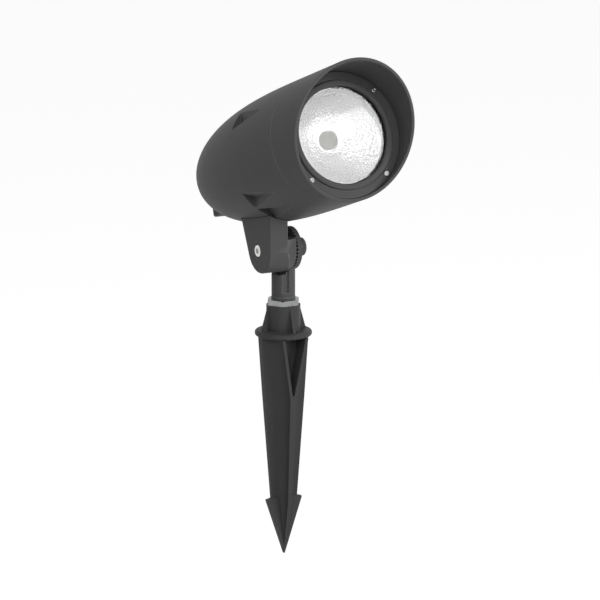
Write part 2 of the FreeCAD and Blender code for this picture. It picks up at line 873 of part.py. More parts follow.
def light_source():
    """Mounting plate, pad, board, phosphor and the holder that clamps them."""
    plate_front = "size.plate_thickness - size.plate_seat_depth"
    plate = cylinder(
        "plate_blank",
        "size.plate_radius",
        "size.plate_thickness",
        at("0", "0", "-1 * size.plate_seat_depth"),
    )
    holes = []
    for angle in DIAGONALS:
        holes.append(
            cylinder(
                f"plate_hole_{angle}",
                "size.plate_screw_shank + 0.2",
                "3 * size.plate_thickness",
                round_the_axis("size.plate_screw_circle", angle, "-1 * size.plate_seat_depth - 5"),
            )
        )
    for side in (-1, 1):
        holes.append(
            cylinder(
                f"lead_hole_{side + 1}",
                "size.lead_hole_radius",
                "3 * size.plate_thickness",
                at(f"{side} * size.lead_spacing / 2", "size.lead_rise", "-1 * size.plate_seat_depth - 5"),
            )
        )
        holes.append(
            cylinder(
                f"holder_tap_{side + 1}",
                "size.holder_screw_shank + 0.05",
                "size.holder_screw_length",
                at(
                    f"{side} * size.holder_screw_offset",
                    "0",
                    f"{plate_front} - size.holder_screw_length + size.holder_thickness"
                    " - size.holder_screw_head_height - size.fit_gap - 0.3",
                ),
            )
        )
        holes.append(
            cylinder(
                f"tray_tap_{side + 1}",
                "size.small_screw_shank + 0.05",
                "size.small_screw_length - size.tray_thickness + 0.3",
                at(
                    f"{side} * size.tray_screw_half_span",
                    "-1 * size.tray_drop - size.tray_foot_height / 2",
                    "-1 * size.plate_seat_depth",
                ),
            )
        )
    node(cut("plate", plate, *holes), "heat_plate", HEAD_PLACE)
    screws = [
        screw(
            f"plate_screw_{angle}",
            "size.plate_screw_head",
            "size.plate_screw_head_height",
            "size.plate_screw_shank",
            "size.plate_screw_length",
            round_the_axis("size.plate_screw_circle", angle, plate_front),
        )
        for angle in DIAGONALS
    ]
    node(compound("plate_screw_set", screws), "plate_screws", HEAD_PLACE)
    half = "size.board_side / 2"
    pad_top = f"{plate_front} + size.pad_thickness"
    board_top = f"{pad_top} + size.board_thickness"
    pad = box("pad", (f"-1 * {half}", f"-1 * {half}", plate_front), (half, half, pad_top))
    node(compound("pad_group", [pad]), "thermal_pad", HEAD_PLACE)
    board = box("board", (f"-1 * {half}", f"-1 * {half}", pad_top), (half, half, board_top))
    node(compound("board_group", [board]), "led_board", HEAD_PLACE)
    phosphor = cylinder(
        "phosphor", "size.phosphor_radius", "size.phosphor_thickness", at("0", "0", board_top)
    )
    node(compound("phosphor_group", [phosphor]), "led_phosphor", HEAD_PLACE)
    led_holder(plate_front, board_top)


def led_holder(plate_front, board_top):
    """Round plastic clamp over the board, with two sunk screws."""
    disc = cylinder("holder_disc", "size.holder_radius", "size.holder_thickness", at("0", "0", plate_front))
    reach = "size.board_side / 2 + size.fit_gap"
    pocket = box(
        "holder_pocket",
        (f"-1 * ({reach})", f"-1 * ({reach})", f"{plate_front} - 1"),
        (reach, reach, board_top),
    )
    window = cylinder(
        "holder_window", "size.holder_window_radius", "2 * size.holder_thickness", at("0", "0", plate_front)
    )
    tools = [pocket, window]
    screws = []
    sink = (
        f"{plate_front} + size.holder_thickness - size.holder_screw_head_height - size.fit_gap"
    )
    for side in (-1, 1):
        across = f"{side} * size.holder_screw_offset"
        tools.append(
            cylinder(
                f"holder_hole_{side + 1}",
                "size.holder_screw_shank + 0.15",
                "3 * size.holder_thickness",
                at(across, "0", f"{plate_front} - 1"),
            )
        )
        tools.append(
            cylinder(
                f"holder_sink_{side + 1}",
                "size.holder_screw_head + 0.15",
                "size.holder_thickness",
                at(across, "0", sink),
            )
        )
        screws.append(
            screw(
                f"holder_screw_{side + 1}",
                "size.holder_screw_head",
                "size.holder_screw_head_height",
                "size.holder_screw_shank",
                "size.holder_screw_length",
                at(across, "0", sink),
            )
        )
    node(cut("holder", disc, *tools), "led_holder", HEAD_PLACE)
    node(compound("holder_screw_set", screws), "holder_screws", HEAD_PLACE)


def reflector():
    """Spun parabola from the throat over the light source to the glass, with a flat rim."""
    throat = size("reflector_throat_radius")
    mouth = size("reflector_mouth_radius")
    wall = size("reflector_wall")
    front = -size("reflector_front")
    back = size("plate_thickness") + size("holder_thickness") - size("plate_seat_depth") + 0.2
    rim_top = -size("flange_back") - size("fit_gap")
    rim_low = rim_top - 1

    def bowl(radius, offset):
        share = (radius**2 - throat**2) / (mouth**2 - throat**2)
        return Vector(radius + offset, 0, back + (front - back) * share)

    def bowl_curve(offset, first, last):
        count = 8
        spots = [bowl(first + (last - first) * step / count, offset) for step in range(count + 1)]
        curve = Part.BSplineCurve()
        curve.interpolate(spots)
        return curve.toShape()

    def radius_at(height):
        share = (height - back) / (front - back)
        return math.sqrt(throat**2 + share * (mouth**2 - throat**2))

    low_radius = radius_at(rim_low)
    top_radius = radius_at(rim_top)
    rim = size("reflector_rim_radius")
    inner = bowl_curve(0, throat, mouth)
    upper = bowl_curve(wall, top_radius, mouth)
    lower = bowl_curve(wall, throat, low_radius)
    wire = Part.Wire(
        [
            inner,
            Part.makeLine(bowl(mouth, 0), bowl(mouth, wall)),
            upper,
            Part.makeLine(bowl(top_radius, wall), Vector(rim, 0, rim_top)),
            Part.makeLine(Vector(rim, 0, rim_top), Vector(rim, 0, rim_low)),
            Part.makeLine(Vector(rim, 0, rim_low), bowl(low_radius, wall)),
            lower,
            Part.makeLine(bowl(throat, wall), bowl(throat, 0)),
        ]
    )
    solid = Part.Face(wire).revolve(Vector(), Vector(0, 0, 1), FULL_TURN)
    node(formed("reflector_spun", solid), "reflector", HEAD_PLACE)


# ---------------------------------------------------------------- driver, tray and leads


def driver_tray():
    """Bent steel strip screwed to the back of the plate; it carries the driver and terminals."""
    foot_back = "-1 * size.plate_seat_depth - size.tray_thickness"
    foot_low = "-1 * size.tray_drop - size.tray_foot_height"
    tray = prism(
        "tray_blank",
        "YZ_Plane",
        [
            (foot_low, "-1 * size.plate_seat_depth"),
            (foot_low, foot_back),
            ("-1 * size.tray_drop - size.tray_thickness", foot_back),
            ("-1 * size.tray_drop - size.tray_thickness", "-1 * size.tray_back"),
            ("-1 * size.tray_drop", "-1 * size.tray_back"),
            ("-1 * size.tray_drop", "-1 * size.plate_seat_depth"),
        ],
        "-1 * size.tray_width / 2",
        "size.tray_width",
    )
    holes = []
    foot_screws = []
    ear_screws = []
    turn = "rotation(vector(0; 1; 0); 180)"
    for side in (-1, 1):
        across = f"{side} * size.tray_screw_half_span"
        low = "-1 * size.tray_drop - size.tray_foot_height / 2"
        holes.append(
            cylinder(
                f"foot_hole_{side + 1}",
                "size.small_screw_shank + 0.15",
                "3 * size.tray_thickness",
                at(across, low, f"{foot_back} - 1"),
            )
        )
        foot_screws.append(
            screw(
                f"foot_screw_{side + 1}",
                "size.small_screw_head",
                "size.small_screw_head_height",
                "size.small_screw_shank",
                "size.small_screw_length",
                f"placement(vector({across}; {low}; {foot_back}); {turn})",
            )
        )
    upright = "rotation(vector(1; 0; 0); -90)"
    for number, along in enumerate(EAR_SPOTS):
        seat = "size.driver_floor_thickness - size.tray_drop"
        holes.append(
            cylinder(
                f"ear_hole_{number}",
                "size.small_screw_shank + 0.05",
                "10",
                f"placement(vector(0; -1 * size.tray_drop - 5; {along}); {upright})",
            )
        )
        ear_screws.append(
            screw(
                f"ear_screw_{number}",
                "size.small_screw_head",
                "size.small_screw_head_height",
                "size.small_screw_shank",
                "size.small_screw_length",
                f"placement(vector(0; {seat}; {along}); {upright})",
            )
        )
    node(cut("tray", tray, *holes), "driver_tray", HEAD_PLACE)
    node(compound("foot_screw_set", foot_screws), "tray_screws", HEAD_PLACE)
    node(compound("ear_screw_set", ear_screws), "driver_screws", HEAD_PLACE)


EAR_SPOTS = [
    "size.driver_ear / 2 - size.driver_front",
    "-1 * (size.driver_front + size.driver_length + size.driver_ear / 2)",
]


def driver():
    """Driver in an open-topped case with two ears, a board inside and a lid."""
    low = "-1 * size.tray_drop"
    top = "size.driver_height - size.tray_drop"
    front = "-1 * size.driver_front"
    back = "-1 * (size.driver_front + size.driver_length)"
    half = "size.driver_width / 2"
    wall = "size.driver_wall"
    case = box("case_block", (f"-1 * {half}", low, back), (half, f"{top} - {wall}", front))
    floor = f"{low} + size.driver_floor_thickness"
    hollow = box(
        "case_hollow",
        (f"{wall} - {half}", floor, f"{back} + {wall}"),
        (f"{half} - {wall}", f"{top} + 1", f"{front} - {wall}"),
    )
    ears = box(
        "case_ears",
        ("-5", low, f"{back} - size.driver_ear"),
        ("5", floor, f"{front} + size.driver_ear"),
    )
    upright = "rotation(vector(1; 0; 0); -90)"
    holes = [
        cylinder(
            f"case_ear_hole_{number}",
            "size.small_screw_shank + 0.15",
            "10",
            f"placement(vector(0; -1 * size.tray_drop - 5; {along}); {upright})",
        )
        for number, along in enumerate(EAR_SPOTS)
    ]
    exits = [
        cylinder(
            f"case_exit_{side + 1}",
            "size.lead_hole_radius",
            "3 * size.driver_wall",
            at(f"{side} * size.lead_spacing / 2", "0", f"{front} - 2 * {wall}"),
        )
        for side in (-1, 1)
    ]
    body = joined("case_body", case, ears)
    node(cut("case", body, hollow, *holes, *exits), "driver_case", HEAD_PLACE)
    lid = box("lid", (f"-1 * {half}", f"{top} - {wall}", back), (half, top, front))
    node(compound("lid_group", [lid]), "driver_lid", HEAD_PLACE)
    board_low = f"{floor} + 0.1"
    board = box(
        "circuit",
        (f"{wall} + size.fit_gap - {half}", board_low, f"{back} + {wall} + size.fit_gap"),
        (
            f"{half} - {wall} - size.fit_gap",
            f"{board_low} + size.driver_board_thickness",
            f"{front} - {wall} - size.fit_gap",
        ),
    )
    node(compound("circuit_group", [board]), "driver_board", HEAD_PLACE)


def terminal_block():
    """Three-way terminal block at the tray's end, facing the cable entry."""
    low = "-1 * size.tray_drop"
    top = "size.terminal_height - size.tray_drop"
    front = "-1 * size.terminal_front"
    back = "-1 * (size.terminal_front + size.terminal_length)"
    block = box(
        "terminal_body",
        ("-1 * size.terminal_width / 2", low, back),
        ("size.terminal_width / 2", top, front),
    )
    upright = "rotation(vector(1; 0; 0); -90)"
    tools = []
    screws = []
    for way in (-1, 0, 1):
        across = f"{way} * size.terminal_width / 3"
        tools.append(
            cylinder(
                f"terminal_way_{way + 1}",
                "1.6",
                "2 * size.terminal_length",
                at(across, "3.6 - size.tray_drop", f"{back} - 1"),
            )
        )
        tools.append(
            cylinder(
                f"terminal_well_{way + 1}",
                "2",
                "10",
                f"placement(vector({across}; 6 - size.tray_drop; {back}"
                f" + size.terminal_length / 2); {upright})",
            )
        )
        screws.append(
            screw(
                f"terminal_screw_{way + 1}",
                "1.9",
                "2",
                "1.2",
                "1",
                f"placement(vector({across}; 7.2 - size.tray_drop; {back}"
                f" + size.terminal_length / 2); {upright})",
            )
        )
    node(cut("terminal", block, *tools), "terminal_block", HEAD_PLACE)
    node(compound("terminal_screw_set", screws), "terminal_screws", HEAD_PLACE)


def bent_wire(points, bend):
    """Path of straight runs joined by tangent arcs."""
    edges = []
    start = points[0]
    for before, corner, after in zip(points, points[1:], points[2:]):
        incoming = (corner - before).normalize()
        outgoing = (after - corner).normalize()
        half_turn = incoming.getAngle(outgoing) / 2
        setback = bend * math.tan(half_turn)
        enter = corner - incoming * setback
        leave = corner + outgoing * setback
        inward = (outgoing - incoming).normalize()
        middle = corner + inward * (bend / math.cos(half_turn) - bend)
        edges.append(Part.makeLine(start, enter))
        edges.append(Part.Arc(enter, middle, leave).toShape())
        start = leave
    edges.append(Part.makeLine(start, points[-1]))
    return Part.Wire(edges)


def led_leads():
    """Two wires from the driver, through the plate, to the sides of the holder."""
    rise = size("lead_rise")
    bend = size("lead_bend")
    seat = size("plate_seat_depth")
    low = size("plate_thickness") - seat + size("lead_radius") + 0.6
    turn_back = -(seat + bend + 2)
    reach = math.sqrt(size("holder_radius") ** 2 - (size("lead_spacing") / 2) ** 2)
    leads = []
    for side in (-1, 1):
        across = side * size("lead_spacing") / 2
        path = bent_wire(
            [
                Vector(across, 0, -size("driver_front") - size("driver_wall")),
                Vector(across, 0, turn_back),
                Vector(across, rise, turn_back),
                Vector(across, rise, low),
                Vector(across, reach + size("fit_gap"), low),
            ],
            bend,
        )
        section = Part.Wire(
            [Part.makeCircle(size("lead_radius"), path.Edges[0].Vertexes[0].Point, Vector(0, 0, 1))]
        )
        leads.append(path.makePipeShell([section], True, False))
    node(formed("lead_pair", Part.makeCompound(leads)), "led_leads", HEAD_PLACE)


# ---------------------------------------------------------------- tilting bracket and clamp


def bracket():
    """Cast lug: flat front, round nose, toothed boss; its top fits the housing's belly."""
    blank = formed("arm_blank", arm_slab(-size("arm_outer"), -size("arm_inner")))
    outer = -size("arm_outer")
    top = size("arm_top")
    soft = rounded(
        "arm_round",
        blank,
        size("arm_corner_round"),
        lambda edge: edge.BoundBox.XMax < outer + 0.1 and edge.BoundBox.ZMin < top - 1,
    )
    boss = arm_boss()
    ledge = box(
        "ledge_cut",
        ("-1 * size.arm_inner", "-1 * size.arm_top", "size.ledge_height"),
        ("3 * size.arm_end", "size.arm_top", "2 * size.arm_top"),
    )
    belly = formed("belly", belly_tool(size("saddle_thickness")))
    belly.setExpression("Placement", belly_place())
    teeth = tooth_ring("arm_teeth", 1, size("arm_end"))
    bore = cylinder(
        "arm_bore",
        "size.clamp_radius + 0.05",
        "3 * size.arm_outer",
        "placement(vector(-1.5 * size.arm_outer; 0; 0); rotation(vector(0; 1; 0); 90))",
    )
    recess = cylinder(
        "arm_recess",
        "size.clamp_recess_radius",
        "size.clamp_recess_depth + 5",
        "placement(vector(size.clamp_recess_depth - size.arm_outer; 0; 0); rotation(vector(0; 1; 0); -90))",
    )
    taps = []
    for number, along in enumerate(MOUNT_SCREWS):
        tap = cylinder(
            f"arm_tap_{number}",
            "size.mount_screw_shank + 0.05",
            "size.mount_screw_depth + 30",
            in_hinge_frame(mount_screw_place(along, "-1 * size.axis_rise + 6")),
        )
        taps.append(tap)
    stock = joined("arm_stock", soft, boss, teeth)
    node(cut("arm", stock, ledge, belly, bore, recess, *taps), "tilt_bracket", HINGE_PLACE)
    saddle(blank)


def arm_boss():
    """Inner part of the bracket: its front and its underside taper to the toothed end."""
    slab = formed("boss_slab", arm_slab(-size("arm_inner") - 1, size("arm_end")))
    plan = prism(
        "boss_plan",
        "XY_Plane",
        [
            ("-1 * size.arm_inner", "-1 * (size.nose_forward + size.nose_radius)"),
            ("size.arm_end", "-1 * size.boss_front"),
            ("size.arm_end", "2 * size.boss_front"),
            ("-1 * size.arm_inner", "2 * size.boss_front"),
        ],
        "-1 * size.arm_top",
        "2 * size.arm_top",
    )
    taper = document.addObject("Part::Cone", "boss_taper")
    taper.setExpression("Radius1", "size.boss_root")
    taper.setExpression("Radius2", "size.boss_front")
    taper.setExpression("Height", "size.arm_inner + size.arm_end")
    taper.setExpression(
        "Placement",
        "placement(vector(-1 * size.arm_inner; 0; 0); rotation(vector(0; 1; 0); 90))",
    )
    upper_front = box(
        "boss_upper_front",
        ("-1 * size.arm_inner", "-1 * size.arm_top", "0"),
        ("size.arm_end", "0", "size.arm_top"),
    )
    limits = joined("boss_limits", taper, upper_front)
    boss = document.addObject("Part::MultiCommon", "arm_boss")
    boss.Shapes = [slab, plan, limits]
    return boss


def arm_slab(low, high):
    """Side outline of the bracket between two planes: flat front, leaning back, round nose."""
    lean = math.radians(size("arm_back_lean"))
    nose = size("nose_radius")
    centre = Vector(low, -size("nose_forward"), size("nose_rise"))
    top = size("arm_top")
    touch_back = centre + Vector(0, nose * math.cos(lean), -nose * math.sin(lean))
    back_top = Vector(low, touch_back.y + (top - touch_back.z) * math.tan(lean), top)
    front_low = centre - Vector(0, nose, 0)
    front_top = Vector(low, front_low.y, top)
    side = Part.Wire(
        [
            Part.makeLine(front_low, front_top),
            Part.makeLine(front_top, back_top),
            Part.makeLine(back_top, touch_back),
            Part.Arc(touch_back, centre - Vector(0, 0, nose), front_low).toShape(),
        ]
    )
    return Part.Face(side).extrude(Vector(high - low, 0, 0))


def belly_tool(gap):
    """The housing's outside, larger all round by a gap."""
    start = size("parting_depth") + size("joint_gap") / 2
    return bullet(size("barrel_radius") + gap, size("housing_length") + gap, start)


def belly_place():
    """The head's place, seen from the hinge."""
    return HEAD_PLACE.replace("size.hinge_height + ", "")


def in_hinge_frame(place):
    """A place in the head, seen from the hinge."""
    return f"{belly_place()} * {place}"


def saddle(blank):
    """Thin curved seal between the bracket's top and the housing."""
    inner = formed("belly_inner", belly_tool(0.05))
    inner.setExpression("Placement", belly_place())
    outer = formed("belly_outer", belly_tool(size("saddle_thickness") - 0.05))
    outer.setExpression("Placement", belly_place())
    ledge = box(
        "saddle_ledge",
        ("-1 * size.arm_inner - 0.5", "-1 * size.arm_top", "-1 * size.arm_top"),
        ("2 * size.arm_end", "size.arm_top", "2 * size.arm_top"),
    )
    shell = cut("saddle_shell", outer, inner)
    common = document.addObject("Part::Common", "saddle_common")
    common.Base = shell
    common.Tool = blank
    holes = [
        cylinder(
            f"saddle_hole_{number}",
            "size.mount_screw_shank + 0.2",
            "size.mount_screw_depth + 30",
            in_hinge_frame(mount_screw_place(along, "-1 * size.axis_rise + 6")),
        )
        for number, along in enumerate(MOUNT_SCREWS)
    ]
    node(cut("saddle", common, ledge, *holes), "bracket_seal", HINGE_PLACE)


def mount_screws():
    """Two screws from inside the housing down into the bracket."""
    screws = [
        screw(
            f"mount_screw_{number}",
            "size.mount_screw_head",
            "size.mount_screw_head_height",
            "size.mount_screw_shank",
            "size.mount_screw_depth + size.housing_wall",
            mount_screw_place(along, str(screw_seat_height(along))),
        )
        for number, along in enumerate(MOUNT_SCREWS)
    ]
    node(compound("mount_screw_set", screws), "bracket_screws", HEAD_PLACE)


def tooth_ring(name, facing, root):
    """Ring of radial teeth on a thin disc, round the hinge; facing is +1 to the right."""
    inner = size("tooth_inner_radius")
    outer = size("lug_radius")
    half = size("tooth_width") / 2
    height = size("tooth_height") * facing
    count = int(size("tooth_count"))
    base = Part.makeCylinder(outer, 1, Vector(root - facing, 0, 0), Vector(facing, 0, 0))
    teeth = [base]
    for step in range(count):
        profile = [
            Vector(root - 0.2 * facing, -half, inner),
            Vector(root - 0.2 * facing, half, inner),
            Vector(root, half, inner),
            Vector(root + height, 0, inner),
            Vector(root, -half, inner),
        ]
        tooth = Part.Face(Part.makePolygon(profile + profile[:1])).extrude(Vector(0, 0, outer - inner))
        tooth.rotate(Vector(), Vector(1, 0, 0), FULL_TURN / count * step)
        teeth.append(tooth)
    return formed(name, teeth[0].multiFuse(teeth[1:]))


def clamp():
    """Clamp screw through the hinge, spring washer and domed cap nut."""
    turn_left = "rotation(vector(0; 1; 0); -90)"
    bolt = screw(
        "clamp_bolt",
        "size.clamp_head_radius",
        "size.clamp_head_height",
        "size.clamp_radius",
        "size.arm_outer - size.clamp_recess_depth + size.lug_outer + size.clamp_reach",
        f"placement(vector(size.clamp_recess_depth - size.arm_outer; 0; 0); {turn_left})",
    )
    node(compound("clamp_group", [bolt]), "clamp_screw", HINGE_PLACE)
    washer_low = "size.lug_outer + 0.1"
    washer = turned(
        "washer_ring",
        [
            ("size.clamp_radius + size.pin_gap", washer_low),
            ("size.washer_radius", washer_low),
            ("size.washer_radius", f"{washer_low} + size.washer_thickness"),
            ("size.clamp_radius + size.pin_gap", f"{washer_low} + size.washer_thickness"),
        ],
    )
    node(washer, "spring_washer", HINGE_CROSSWISE)
    cap_low = f"{washer_low} + size.washer_thickness"
    groove_low = f"{cap_low} + size.cap_groove_start"
    groove_high = f"{groove_low} + size.cap_groove_width"
    cap = turned(
        "cap_blank",
        [
            ("0", "size.lug_outer + size.clamp_reach + 0.4"),
            ("size.clamp_radius + 0.05", "size.lug_outer + size.clamp_reach + 0.4"),
            ("size.clamp_radius + 0.05", cap_low),
            ("size.cap_radius", cap_low),
            ("size.cap_radius", groove_low),
            ("size.cap_radius - size.cap_groove_depth", groove_low),
            ("size.cap_radius - size.cap_groove_depth", groove_high),
            ("size.cap_radius", groove_high),
            ("size.cap_radius", f"{cap_low} + size.cap_length"),
            ("0", f"{cap_low} + size.cap_length"),
        ],
    )
    document.recompute()
    end = cap.Shape.BoundBox.ZMax
    body_fillet(cap, "cap_dome", "size.cap_round", lambda edge: edge.BoundBox.ZMin > end - 0.01)
    node(cap, "clamp_cap_nut", HINGE_CROSSWISE)


# ---------------------------------------------------------------- stem, nut and spike


def stem():
    """Stem casting: threaded foot, column with cored faces, neck and toothed lug."""
    column = cylinder(
        "column",
        "size.stem_radius",
        "size.hinge_height - size.stem_foot",
        at("0", "0", "size.stem_foot"),
    )
    face = "(size.arm_end + size.tooth_height + size.running_gap)"
    sideways = "rotation(vector(0; 1; 0); -90)"
    nose_clearance = cylinder(
        "nose_clearance",
        "size.saddle_radius",
        "2 * size.stem_radius",
        f"placement(vector(-1 * size.neck_side; 0; size.hinge_height); {sideways})",
    )
    taper = "(size.boss_root - size.boss_front) / (size.arm_inner + size.arm_end)"
    neck_reach = f"size.boss_front + {taper} * (size.arm_end + size.neck_side) + 1.2 * size.running_gap"
    boss_clearance = turned(
        "boss_clearance",
        [
            ("0", "-1 * size.neck_side"),
            (neck_reach, "-1 * size.neck_side"),
            ("size.boss_front + 1.2 * size.running_gap", "size.arm_end"),
            ("size.boss_front + 1.2 * size.running_gap", face),
            ("0", face),
        ],
    )
    boss_clearance.setExpression("Placement", HINGE_CROSSWISE)
    nut_clearance = box(
        "nut_clearance",
        ("size.lug_outer", "-1 * size.stem_radius", "size.hinge_height - size.lug_face_drop"),
        ("2 * size.stem_radius", "size.stem_radius", "2 * size.hinge_height"),
    )
    cores = [
        box(
            f"core_{side + 1}",
            (
                "-1 * size.core_middle - size.core_width / 2",
                f"{side} * (size.stem_radius - size.core_depth / 2) - size.core_depth / 2 - 0.25",
                "size.core_foot",
            ),
            (
                "size.core_width / 2 - size.core_middle",
                f"{side} * (size.stem_radius - size.core_depth / 2) + size.core_depth / 2 + 0.25",
                "size.hinge_height",
            ),
        )
        for side in (-1, 1)
    ]
    shaft = cut("column_cut", column, nose_clearance, boss_clearance, nut_clearance, *cores)
    lug = cylinder(
        "lug_disc",
        "size.lug_radius",
        f"size.lug_outer - {face} - size.tooth_height",
        f"placement(vector({face} + size.tooth_height; 0; size.hinge_height); rotation(vector(0; 1; 0); 90))",
    )
    soft_lug = rounded(
        "lug_round", lug, size("lug_edge_round"), lambda edge: edge.BoundBox.XMin > size("lug_outer") - 0.1
    )
    root = size("arm_end") + 2 * size("tooth_height") + size("running_gap")
    teeth = tooth_ring("lug_teeth", -1, root)
    teeth.setExpression("Placement", HINGE_PLACE)
    stock = joined("stem_stock", shaft, soft_lug, teeth, thread_rod())
    bore = cylinder(
        "lug_bore",
        "size.clamp_radius + size.pin_gap",
        "3 * size.lug_outer",
        "placement(vector(0; 0; size.hinge_height); rotation(vector(0; 1; 0); 90))",
    )
    node(cut("stem_casting", stock, bore), "stem")


def thread_rod():
    """Threaded foot, drawn as one ring for each pitch."""
    outer = size("thread_radius")
    inner = outer - size("thread_depth")
    pitch = size("thread_pitch")
    top = size("stem_foot")
    count = int((top - size("thread_foot")) / pitch)
    points = [Vector(0, 0, top), Vector(inner, 0, top)]
    for ring in range(count):
        points.append(Vector(outer, 0, top - pitch * (ring + 0.4)))
        points.append(Vector(outer, 0, top - pitch * (ring + 0.6)))
        points.append(Vector(inner, 0, top - pitch * (ring + 1)))
    points.append(Vector(0, 0, top - pitch * count))
    profile = Part.Face(Part.makePolygon(points + points[:1]))
    return formed("thread_rod", profile.revolve(Vector(), Vector(0, 0, 1), FULL_TURN))


def lock_nut():
    """Hexagon nut on the stem's thread; its corners are bevelled."""
    hexagon = document.addObject("Part::Prism", "nut_hexagon")
    hexagon.Polygon = 6
    hexagon.setExpression("Circumradius", "size.nut_flats / sqrt(3)")
    hexagon.setExpression("Height", "size.nut_thickness")
    hexagon.setExpression("Placement", at("0", "0", "size.socket_top"))
    corner = "size.nut_flats / sqrt(3)"
    low = "size.socket_top"
    bevelled = turned(
        "nut_bevelled",
        [
            ("size.thread_radius + size.pin_gap", low),
            (f"{corner} - size.nut_bevel", low),
            (corner, f"{low} + size.nut_bevel / 2"),
            (corner, f"{low} + size.nut_thickness - size.nut_bevel / 2"),
            (f"{corner} - size.nut_bevel", f"{low} + size.nut_thickness"),
            ("size.thread_radius + size.pin_gap", f"{low} + size.nut_thickness"),
        ],
    )
    nut = document.addObject("Part::Common", "nut")
    nut.Base = hexagon
    nut.Tool = bevelled
    node(nut, "lock_nut")


def star(depth, reach, side_width, front_width, flute):
    """Cross-section of the blade: four square-ended fins with hollow flutes between them."""
    edges = []
    for quarter in range(4):
        near, far = (side_width, front_width) if quarter % 2 == 0 else (front_width, side_width)
        first = Vector(reach, -near / 2, 0)
        second = Vector(reach, near / 2, 0)
        third = Vector(far / 2, reach, 0)
        inward = Vector(second.y - third.y, third.x - second.x, 0).normalize()
        deepest = (second + third) / 2 + inward * flute
        turn = FreeCAD.Rotation(Vector(0, 0, 1), FULL_TURN / 4 * quarter)
        first, second, third, deepest = (turn.multVec(spot) for spot in (first, second, third, deepest))
        edges.append(Part.makeLine(first, second))
        edges.append(Part.Arc(second, deepest, third).toShape())
    wire = Part.Wire(edges)
    wire.translate(Vector(0, 0, -depth))
    return wire


def spike():
    """Moulded spike: threaded socket with gussets, flange, fluted blade, barbs and point."""
    flange = rounded(
        "flange_round",
        cylinder("flange", "size.flange_radius", "size.flange_thickness"),
        size("flange_round"),
        lambda edge: edge.Length > size("flange_radius") * 6,
    )
    socket = cylinder("socket", "size.socket_radius", "size.socket_top")
    gussets = [
        prism(
            f"gusset_{plane[:2]}",
            plane,
            [
                ("-1 * size.gusset_radius", "size.flange_thickness / 2"),
                ("size.gusset_radius", "size.flange_thickness / 2"),
                ("size.gusset_radius", "size.flange_thickness"),
                ("size.socket_radius", "size.gusset_top"),
                ("-1 * size.socket_radius", "size.gusset_top"),
                ("-1 * size.gusset_radius", "size.flange_thickness"),
            ],
            "-1 * size.gusset_thickness / 2",
            "size.gusset_thickness",
        )
        for plane in ("XZ_Plane", "YZ_Plane")
    ]
    barbs = prism(
        "barbs",
        "XZ_Plane",
        [
            ("0", "-1 * size.tip_depth"),
            ("size.barb_radius", "-1 * size.barb_depth"),
            ("size.blade_radius - 1", "-1 * size.barb_depth + size.barb_notch"),
            ("1 - size.blade_radius", "-1 * size.barb_depth + size.barb_notch"),
            ("-1 * size.barb_radius", "-1 * size.barb_depth"),
        ],
        "-1 * size.blade_width / 2",
        "size.blade_width",
    )
    stock = joined("spike_stock", flange, socket, *gussets, *blade(), barbs)
    bore = cylinder(
        "socket_bore",
        "size.thread_radius + size.pin_gap",
        "size.socket_top - size.thread_foot + 4",
        at("0", "0", "size.thread_foot - 2"),
    )
    node(cut("spike_moulding", stock, bore, *web_pockets()), "ground_spike")


def blade():
    """Fluted blade in three lengths: broad webs, even fins, and the point below the barbs."""
    fin = size("fin_radius")
    blade_width = size("blade_width")
    tip = size("tip_radius")
    top = star(0, fin, size("fin_width"), size("web_width"), size("web_flute"))
    waist = star(
        size("web_depth"),
        size("waist_radius"),
        size("waist_width"),
        size("waist_width"),
        size("waist_flute"),
    )
    barb = star(
        size("barb_depth"), size("blade_radius"), blade_width, blade_width, size("blade_flute")
    )
    point = star(size("tip_depth"), tip, tip, tip, size("tip_flute"))
    lengths = {"blade_webs": (top, waist), "blade_fins": (waist, barb), "blade_point": (barb, point)}
    return [
        formed(name, Part.makeLoft(list(sections), True, True)) for name, sections in lengths.items()
    ]


def web_pockets():
    """V-shaped pockets in the front and back webs, open to the outside."""
    pockets = []
    for name, start in (("front", "size.pocket_floor"), ("back", "-1 * size.fin_radius - 2")):
        pockets.append(
            prism(
                f"pocket_{name}",
                "XZ_Plane",
                [
                    ("-1 * size.pocket_half_width", "0"),
                    ("-1 * size.pocket_point / 2", "-1 * size.pocket_depth"),
                    ("size.pocket_point / 2", "-1 * size.pocket_depth"),
                    ("size.pocket_half_width", "0"),
                ],
                start,
                "size.fin_radius + 2 - size.pocket_floor",
            )
        )
    return pockets


# ---------------------------------------------------------------- build and write

front_hood()
housing_gasket()
trim_ring()
joint_screws()
glass_and_seal()
rear_housing()
cable_entry()
light_source()
reflector()
driver_tray()
driver()
terminal_block()
led_leads()
bracket()
mount_screws()
clamp()
stem()
lock_nut()
spike()
document.recompute()

for item in document.Objects:
    if "Invalid" in item.State or "Error" in item.State:
        raise RuntimeError(f"{item.Name} failed: {item.State}")
os.makedirs("parts", exist_ok=True)
for piece in NODES:
    if piece.Shape.isNull() or not piece.Shape.isValid():
        raise RuntimeError(f"{piece.Label} has no valid shape")
for piece in NODES:
    piece.Shape.exportStep(os.path.join("parts", piece.Label + ".step"))
    bounds = piece.Shape.BoundBox
    print(
        f"{piece.Label:16s} solids {len(piece.Shape.Solids)} volume {piece.Shape.Volume:10.1f}"
        f"  x {bounds.XMin:7.1f} {bounds.XMax:7.1f}  y {bounds.YMin:7.1f} {bounds.YMax:7.1f}"
        f"  z {bounds.ZMin:7.1f} {bounds.ZMax:7.1f}"
    )
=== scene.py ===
"""Looks of the garden spike spotlight: finishes, broken edges, reflector, light and camera.

Metres, +Z up, the head faces -Y. The reflector is modelled upright in millimetres, with its
origin at the middle of the glass's outer face and +Z along the beam, and is then leaned.
"""
import math

import bpy
from mathutils import Matrix, Vector


